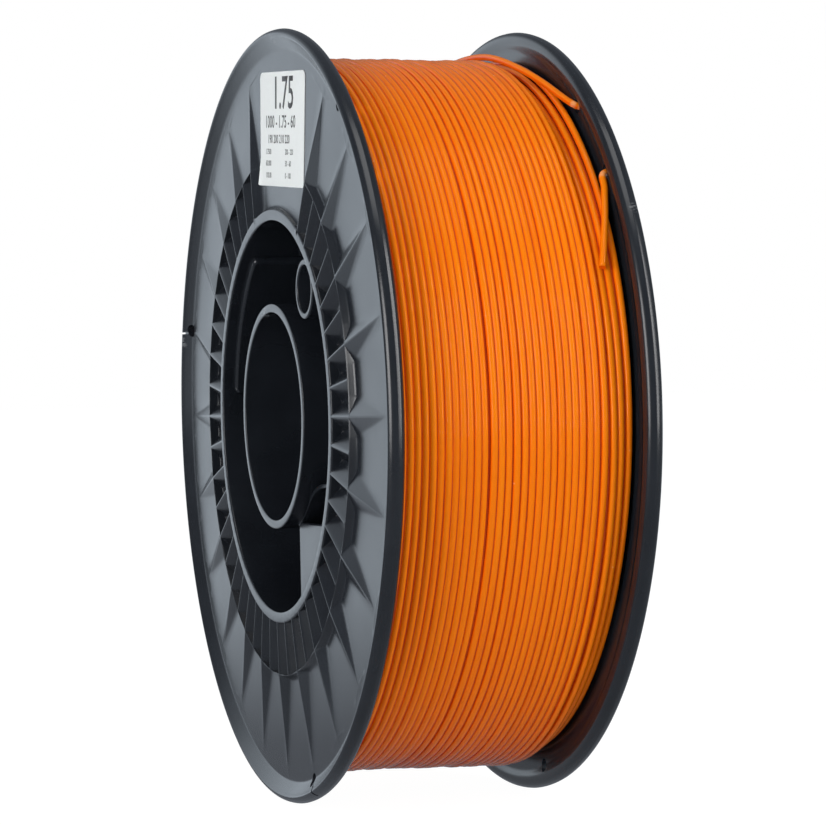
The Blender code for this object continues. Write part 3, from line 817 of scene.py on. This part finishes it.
# Printed numbers: text, size, and place of the first figure on the label in millimetres
NUMBERS = (
    ("1.75", 11.7, -8.8, 5.4), ("1000 - 1.75 - 60", 4.5, -16.2, 0.4),
    ("190 200 210 220", 3.1, -13.6, -3.6),
    ("1.7500", 2.0, -15.8, -6.5), ("200 - 220", 2.0, 3.2, -6.5),
    ("60.000", 2.0, -15.8, -9.5), ("50 - 60", 2.0, 3.2, -9.5),
    ("100.00", 2.0, -15.8, -12.6), ("0 - 100", 2.0, 3.2, -12.6),
)


class SPOOL_OT_label(bpy.types.Operator):
    """Paper label on the front flange"""

    bl_idname = "spool.label"
    bl_label = "Label"

    def execute(self, context):
        sizes = context.scene.spool_sizes
        deselect()
        bpy.ops.mesh.primitive_grid_add(x_subdivisions=60, y_subdivisions=44, size=1.0)
        paper = bpy.context.object
        for point in paper.data.vertices:
            point.co = self.on_plate(
                sizes, point.co.x * sizes.label_width, point.co.y * sizes.label_height)
        thick = paper.modifiers.new("paper", "SOLIDIFY")
        thick.thickness = 0.14 * MM
        thick.offset = 0.0
        only(paper)
        bpy.ops.object.modifier_apply(modifier=thick.name)
        welded(paper, 0.000001)
        material = label_paper(context.scene.spool_colours)
        finish_piece(smoothed(joined("paper_label", paper), 40), material, "label_paper", "front_label")
        self.print_numbers(sizes)
        return {"FINISHED"}

    def on_plate(self, sizes, x, z, lift=0.0):
        """Place on the flange of a point of the flat label, with its corners rounded."""
        corner = 2.0 * MM
        x *= 1.0 - 0.05 * (0.5 - z / sizes.label_height)
        wide, high = sizes.label_width / 2 - corner, sizes.label_height / 2 - corner
        if abs(x) > wide and abs(z) > high:
            out = Vector((abs(x) - wide, abs(z) - high))
            if out.length > corner:
                out *= corner / out.length
            x, z = math.copysign(wide + out.x, x), math.copysign(high + out.y, z)
        flat = turned(-5.2) @ Vector((x, 0.0, z)) + on_axis(74.3 * MM, 83.8, 0.0)
        radius = math.hypot(flat.x, flat.z) / MM
        aside = radius * math.sin(math.radians(BARE_TO - math.degrees(math.atan2(flat.z, flat.x))))
        under = PLATE
        for near in (-0.5, 0.0, 0.5):
            under = min(under, bare_rib_depth(radius, max(0.0, aside + near)))
        flat.y = depth_place(under - 0.09 - lift)
        return flat

    def print_numbers(self, sizes):
        """Plain numbers printed on the label."""
        lines = []
        for words, size, x, z in NUMBERS:
            deselect()
            bpy.ops.object.text_add()
            line = bpy.context.object
            line.data.body = words
            line.data.size = size * MM
            line.data.offset = 0.012 * size * MM
            line.data.resolution_u = 3
            only(line)
            bpy.ops.object.convert(target="MESH")
            line = bpy.context.object
            bpy.ops.object.mode_set(mode="EDIT")
            bpy.ops.mesh.select_all(action="SELECT")
            bpy.ops.mesh.remove_doubles(threshold=0.000002)
            bpy.ops.object.mode_set(mode="OBJECT")
            for point in line.data.vertices:
                point.co = self.on_plate(sizes, point.co.x + x * MM, point.co.y + z * MM, 0.075)
            lines.append(line)
        ink = joined("label_numbers", *lines)
        thick = ink.modifiers.new("ink", "SOLIDIFY")
        thick.thickness = 0.02 * MM
        thick.offset = 0.0
        only(ink)
        bpy.ops.object.modifier_apply(modifier=thick.name)
        welded(ink, 0.0000005)
        ink.data.materials.clear()
        ink.data.materials.append(label_ink())
        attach(ink, "root")


# Finishes

def new_material(name):
    """A material with its nodes, links and shader; these three are empty if it was made before."""
    material = bpy.data.materials.get(name)
    if material:
        return material, None, None, None
    material = bpy.data.materials.new(name)
    material.use_nodes = True
    nodes, links = material.node_tree.nodes, material.node_tree.links
    return material, nodes, links, nodes["Principled BSDF"]


def fill(links, socket, value):
    """Puts a number, a colour or another node's output into a socket."""
    if isinstance(value, (float, tuple)):
        socket.default_value = value
    else:
        links.new(value, socket)


def object_place(nodes):
    return nodes.new("ShaderNodeTexCoord").outputs["Object"]


def noise_node(nodes, links, source, scale, detail, roughness=0.5):
    made = nodes.new("ShaderNodeTexNoise")
    made.inputs["Scale"].default_value = scale
    made.inputs["Detail"].default_value = detail
    made.inputs["Roughness"].default_value = roughness
    links.new(source, made.inputs["Vector"])
    return made.outputs["Fac"]


def ramp_node(nodes, links, source, stops):
    made = nodes.new("ShaderNodeValToRGB")
    links.new(source, made.inputs["Fac"])
    elements = made.color_ramp.elements
    while len(elements) < len(stops):
        elements.new(0.5)
    for element, (place, value) in zip(elements, stops):
        element.position = place
        element.color = value if len(value) == 4 else (*value, 1.0)
    return made.outputs["Color"]


def math_node(nodes, links, operation, *values):
    made = nodes.new("ShaderNodeMath")
    made.operation = operation
    for socket, value in zip(made.inputs, values):
        fill(links, socket, value)
    return made.outputs["Value"]


def range_node(nodes, links, source, zero, one):
    made = nodes.new("ShaderNodeMapRange")
    made.inputs["From Min"].default_value = zero
    made.inputs["From Max"].default_value = one
    links.new(source, made.inputs["Value"])
    return made.outputs["Result"]


def stretched(nodes, links, source, scale, turn=0.0):
    made = nodes.new("ShaderNodeMapping")
    made.inputs["Scale"].default_value = scale
    made.inputs["Rotation"].default_value = (0.0, turn, 0.0)
    links.new(source, made.inputs["Vector"])
    return made.outputs["Vector"]


def mix_colours(nodes, links, share, first, second, blend="MIX"):
    made = nodes.new("ShaderNodeMix")
    made.data_type = "RGBA"
    made.blend_type = blend
    for name, value in (("Factor", share), ("A", first), ("B", second)):
        fill(links, made.inputs[name], value)
    return made.outputs["Result"]


def mix_shaders(nodes, links, share, first, second):
    made = nodes.new("ShaderNodeMixShader")
    for socket, source in zip(made.inputs, (share, first, second)):
        links.new(source, socket)
    return made.outputs["Shader"]


def bump_node(nodes, links, height, strength, distance):
    made = nodes.new("ShaderNodeBump")
    made.inputs["Strength"].default_value = strength
    made.inputs["Distance"].default_value = distance
    links.new(height, made.inputs["Height"])
    return made


def grey(value):
    return (value, value, value, 1.0)


# Scuffed spots: radius, angle, depth and size in millimetres
SCUFFS = (
    (98.0, 167.4, 0.3, 1.9), (28.2, 103.0, 0.2, 3.2), (99.7, 29.0, 66.6, 1.6), (97.6, 86.0, 0.6, 2.6),
)


def scuffed(nodes, links, place):
    """0 to 1: scratched spots at a few places where the spool was handled."""
    scratch = stretched(nodes, links, place, (500.0, 500.0, 2600.0), 0.6)
    lines = ramp_node(nodes, links, noise_node(nodes, links, scratch, 1.0, 3.0, 0.6), (
        (0.50, grey(0.0)), (0.62, grey(1.0))))
    spots = None
    for radius, angle, depth, size in SCUFFS:
        away = nodes.new("ShaderNodeVectorMath")
        away.operation = "DISTANCE"
        away.inputs[1].default_value = on_axis(radius * MM, angle, depth_place(depth))
        links.new(place, away.inputs[0])
        near = range_node(nodes, links, away.outputs["Value"], size * MM, 0.25 * size * MM)
        spots = math_node(nodes, links, "MAXIMUM", spots, near) if spots else near
    return math_node(nodes, links, "MULTIPLY", spots, lines)


def moulded_plastic(colours):
    material, nodes, links, shader = new_material("moulded black plastic")
    if nodes is None:
        return material
    place = object_place(nodes)
    base = tuple(colours.plastic)
    cloud = noise_node(nodes, links, place, 60.0, 4.0)
    tint = ramp_node(nodes, links, cloud, (
        (0.3, tuple(0.85 * c for c in base[:3])), (0.7, tuple(1.2 * c for c in base[:3]))))
    worn = mix_colours(nodes, links, scuffed(nodes, links, place), tint, (0.20, 0.21, 0.22, 1.0))
    links.new(worn, shader.inputs["Base Color"])
    rough = ramp_node(nodes, links, cloud, ((0.3, grey(0.20)), (0.7, grey(0.26))))
    links.new(rough, shader.inputs["Roughness"])
    sink = bump_node(nodes, links, noise_node(nodes, links, place, 42.0, 1.5), 0.5, 0.00012)
    grain = bump_node(nodes, links, noise_node(nodes, links, place, 2600.0, 2.0), 0.04, 0.00002)
    links.new(sink.outputs["Normal"], grain.inputs["Normal"])
    links.new(grain.outputs["Normal"], shader.inputs["Normal"])
    shader.inputs["IOR"].default_value = 1.5
    return material


def orange_filament(colours):
    material, nodes, links, shader = new_material("orange filament")
    if nodes is None:
        return material
    strand = nodes.new("ShaderNodeUVMap")
    strand.uv_map = "strand"
    along = strand.outputs["UV"]
    base = tuple(colours.filament)
    cloud = noise_node(nodes, links, stretched(nodes, links, along, (18.0, 2.0, 1.0)), 1.0, 3.0)
    tint = ramp_node(nodes, links, cloud, (
        (0.3, (0.96 * base[0], 0.9 * base[1], base[2])), (0.7, (base[0], 1.1 * base[1], base[2]))))
    # Painted shade: the strand's sides, where it meets its neighbours in the grooves, are darkened to a
    # deeper red-orange.
    around = nodes.new("ShaderNodeSeparateXYZ")
    links.new(along, around.inputs["Vector"])
    turn = math_node(nodes, links, "MULTIPLY", around.outputs["Y"], 4 * math.pi)
    painted_groove_shade = ramp_node(nodes, links, math_node(nodes, links, "COSINE", turn), (
        (0.35, grey(1.0)), (1.0, (0.95, 0.62, 0.4))))
    groove = mix_colours(nodes, links, 1.0, tint, painted_groove_shade, "MULTIPLY")
    drawn = noise_node(nodes, links, stretched(nodes, links, along, (45.0, 26.0, 1.0)), 1.0, 4.0, 0.6)
    dust = noise_node(nodes, links, object_place(nodes), 520.0, 1.0)
    specks = ramp_node(nodes, links, dust, ((0.80, grey(0.0)), (0.84, grey(0.55))))
    bent = nodes.new("ShaderNodeAttribute")
    bent.attribute_name = "bend"
    strain = ramp_node(nodes, links, bent.outputs["Fac"], ((0.55, grey(0.0)), (1.0, grey(0.4))))
    pale = math_node(nodes, links, "MAXIMUM", specks, strain)
    links.new(mix_colours(nodes, links, pale, groove, (0.95, 0.55, 0.26, 1.0)), shader.inputs["Base Color"])
    rough = ramp_node(nodes, links, drawn, ((0.3, grey(0.11)), (0.7, grey(0.20))))
    links.new(rough, shader.inputs["Roughness"])
    lines = bump_node(nodes, links, drawn, 0.10, 0.00003)
    links.new(lines.outputs["Normal"], shader.inputs["Normal"])
    shader.inputs["IOR"].default_value = 1.36
    shader.inputs["Specular IOR Level"].default_value = 0.22
    return material


def shaded_filament(colours):
    """Turns seen through the grooves, painted darker and redder: painted shade in the grooves, and the red
    glow of light that comes through the strands painted in.
    """
    material, nodes, links, shader = new_material("filament with painted groove shade")
    if nodes is None:
        return material
    base = tuple(colours.filament)
    cloud = noise_node(nodes, links, object_place(nodes), 45.0, 2.0)
    tint = ramp_node(nodes, links, cloud, (
        (0.3, (0.62 * base[0], 0.30 * base[1], 0.3 * base[2])),
        (0.7, (0.80 * base[0], 0.48 * base[1], 0.5 * base[2]))))
    links.new(tint, shader.inputs["Base Color"])
    shader.inputs["Roughness"].default_value = 0.5
    shader.inputs["IOR"].default_value = 1.35
    return material


def label_paper(colours):
    material, nodes, links, shader = new_material("label paper")
    if nodes is None:
        return material
    base = tuple(colours.paper)
    fibre = noise_node(nodes, links, object_place(nodes), 900.0, 5.0, 0.7)
    tint = ramp_node(nodes, links, fibre, ((0.3, tuple(0.965 * c for c in base[:3])), (0.7, base[:3])))
    links.new(tint, shader.inputs["Base Color"])
    shader.inputs["Roughness"].default_value = 0.62
    return material


def label_ink():
    material, nodes, links, shader = new_material("label print")
    if nodes is None:
        return material
    patchy = noise_node(nodes, links, object_place(nodes), 1400.0, 3.0)
    tint = ramp_node(nodes, links, patchy, ((0.35, grey(0.035)), (0.8, grey(0.10))))
    links.new(tint, shader.inputs["Base Color"])
    shader.inputs["Roughness"].default_value = 0.55
    return material


# Stage, light and camera

class SPOOL_OT_stage(bpy.types.Operator):
    """Floor, light and camera"""

    bl_idname = "spool.stage"
    bl_label = "Stage"

    def execute(self, context):
        scene = context.scene
        scene.view_settings.view_transform = "Standard"
        deselect()
        bpy.ops.mesh.primitive_plane_add(size=60.0, location=(0, 0, -0.1))
        floor = placed(bpy.context.object)
        floor.name = "floor"
        floor.data.materials.append(self.pale_floor(scene.spool_colours))
        floor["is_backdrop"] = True
        self.light_world(scene)
        self.add_lamps()
        self.add_camera(scene)
        return {"FINISHED"}

    def pale_floor(self, colours):
        """Nearly white to the camera; in the spool's gloss a painted reflection, with painted shade near
        the spool and glowing paler far behind it.
        """
        material, nodes, links, shader = new_material("pale floor")
        shader.inputs["Base Color"].default_value = tuple(colours.floor)
        shader.inputs["Roughness"].default_value = 0.9
        shader.inputs["Specular IOR Level"].default_value = 0.0
        white = nodes.new("ShaderNodeEmission")
        white.inputs["Strength"].default_value = 1.12
        across = nodes.new("ShaderNodeSeparateXYZ")
        links.new(object_place(nodes), across.inputs["Vector"])
        # Painted light seen only in gloss: dark near the spool as painted shade, glowing paler far behind
        # it.
        back = range_node(nodes, links, across.outputs["X"], -0.12, -0.75)
        pale = ramp_node(nodes, links, back, ((0.0, (0.28, 0.305, 0.345)), (1.0, (1.0, 1.12, 1.24))))
        painted_floor_reflection = nodes.new("ShaderNodeEmission")
        links.new(pale, painted_floor_reflection.inputs["Color"])
        rays = nodes.new("ShaderNodeLightPath")
        seen = math_node(nodes, links, "MULTIPLY", rays.outputs["Is Camera Ray"], 0.88)
        gloss = mix_shaders(nodes, links, rays.outputs["Is Glossy Ray"],
                            shader.outputs["BSDF"], painted_floor_reflection.outputs["Emission"])
        links.new(mix_shaders(nodes, links, seen, gloss, white.outputs["Emission"]),
                  nodes["Material Output"].inputs["Surface"])
        return material

    def light_world(self, scene):
        """White to the camera, an even dim light, and a pale sweep behind the spool in its gloss."""
        world = bpy.data.worlds.new("white studio")
        scene.world = world
        world.use_nodes = True
        nodes, links = world.node_tree.nodes, world.node_tree.links
        even = nodes["Background"]
        even.inputs["Color"].default_value = (0.97, 0.98, 1.0, 1.0)
        even.inputs["Strength"].default_value = 0.27
        strip = ramp_node(nodes, links, self.facing(nodes, links, (0.190, -0.835, -0.5135)), (
            (0.30, grey(0.0)), (0.40, grey(0.5)), (0.44, grey(1.0)), (0.56, grey(1.0)), (0.60, grey(0.5)),
            (0.70, grey(0.0))))
        behind = ramp_node(nodes, links, self.facing(nodes, links, (-0.970, -0.242, 0.035)), (
            (0.80, grey(0.0)), (0.93, grey(1.0))))
        lit = math_node(nodes, links, "MULTIPLY", strip, behind)
        shade = ramp_node(nodes, links, lit, ((0.0, (0.18, 0.20, 0.23)), (1.0, (1.06, 1.19, 1.32))))
        sweep = nodes.new("ShaderNodeBackground")
        links.new(shade, sweep.inputs["Color"])
        white = nodes.new("ShaderNodeBackground")
        white.inputs["Color"].default_value = (1.0, 1.0, 1.0, 1.0)
        rays = nodes.new("ShaderNodeLightPath")
        seen = math_node(nodes, links, "MAXIMUM",
                         rays.outputs["Is Camera Ray"], rays.outputs["Is Transmission Ray"])
        gloss = mix_shaders(nodes, links, rays.outputs["Is Glossy Ray"],
                            even.outputs["Background"], sweep.outputs["Background"])
        links.new(mix_shaders(nodes, links, seen, gloss, white.outputs["Background"]),
                  nodes["World Output"].inputs["Surface"])

    def facing(self, nodes, links, direction):
        """0 to 1: how far a ray's direction turns from against this one to along it."""
        towards = nodes.new("ShaderNodeVectorMath")
        towards.operation = "DOT_PRODUCT"
        towards.inputs[1].default_value = Vector(direction).normalized()
        links.new(nodes.new("ShaderNodeTexCoord").outputs["Generated"], towards.inputs[0])
        return math_node(nodes, links, "MULTIPLY_ADD", towards.outputs["Value"], 0.5, 0.5)

    def add_lamps(self):
        for name, place, wide, high, power in (
            ("right softbox", (0.75, 0.82, 0.35), 0.29, 1.0, 5.9),
            ("top softbox", (0.40, -0.10, 1.15), 0.7, 0.7, 3.4),
            ("left softbox", (0.60, -0.98, 0.16), 0.5, 0.78, 8.3),
        ):
            deselect()
            bpy.ops.object.light_add(type="AREA", location=place)
            lamp = bpy.context.object
            lamp.name = name
            lamp.data.shape = "RECTANGLE"
            lamp.data.size = wide
            lamp.data.size_y = high
            lamp.data.energy = power
            lamp.rotation_euler = (-Vector(place)).to_track_quat("-Z", "Y").to_euler()

    def add_camera(self, scene):
        data = bpy.data.cameras.new("camera")
        camera = bpy.data.objects.new("camera", data)
        scene.collection.objects.link(camera)
        turn = Matrix((
            (0.3121, 0.0, 0.9500), (0.9498, 0.0230, -0.3120), (-0.0218, 0.9997, 0.0072)))
        camera.matrix_world = Matrix.Translation((0.7383, -0.2379, 0.00575)) @ turn.to_4x4()
        data.lens = 128.39
        data.sensor_width = 36.0
        data.clip_start = 0.01
        scene.camera = camera


class SPOOL_PT_panel(bpy.types.Panel):
    """Filament spool"""

    bl_idname = "SPOOL_PT_panel"
    bl_label = "Filament spool"
    bl_space_type = "VIEW_3D"
    bl_region_type = "UI"
    bl_category = "Spool"

    def draw(self, context):
        layout = self.layout
        for group in (context.scene.spool_sizes, context.scene.spool_colours):
            for name in group.__annotations__:
                layout.prop(group, name)
        for operator in OPERATORS:
            layout.operator(operator.bl_idname)


OPERATORS = (SPOOL_OT_stage, SPOOL_OT_halves, SPOOL_OT_winding, SPOOL_OT_loose_end, SPOOL_OT_label)
CLASSES = (SpoolSizes, SpoolColours) + OPERATORS + (SPOOL_PT_panel,)


def register():
    for item in CLASSES:
        bpy.utils.register_class(item)
    bpy.types.Scene.spool_sizes = bpy.props.PointerProperty(type=SpoolSizes)
    bpy.types.Scene.spool_colours = bpy.props.PointerProperty(type=SpoolColours)


def unregister():
    del bpy.types.Scene.spool_colours
    del bpy.types.Scene.spool_sizes
    for item in reversed(CLASSES):
        bpy.utils.unregister_class(item)


def corners():
    return [[float(v) for v in corner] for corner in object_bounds()]


def main():
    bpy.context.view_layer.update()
    register()
    bpy.ops.spool.stage()
    bpy.ops.spool.halves()
    bpy.ops.spool.winding()
    bpy.ops.spool.loose_end()
    bpy.ops.spool.label()


if __name__ == "__main__":
    main()
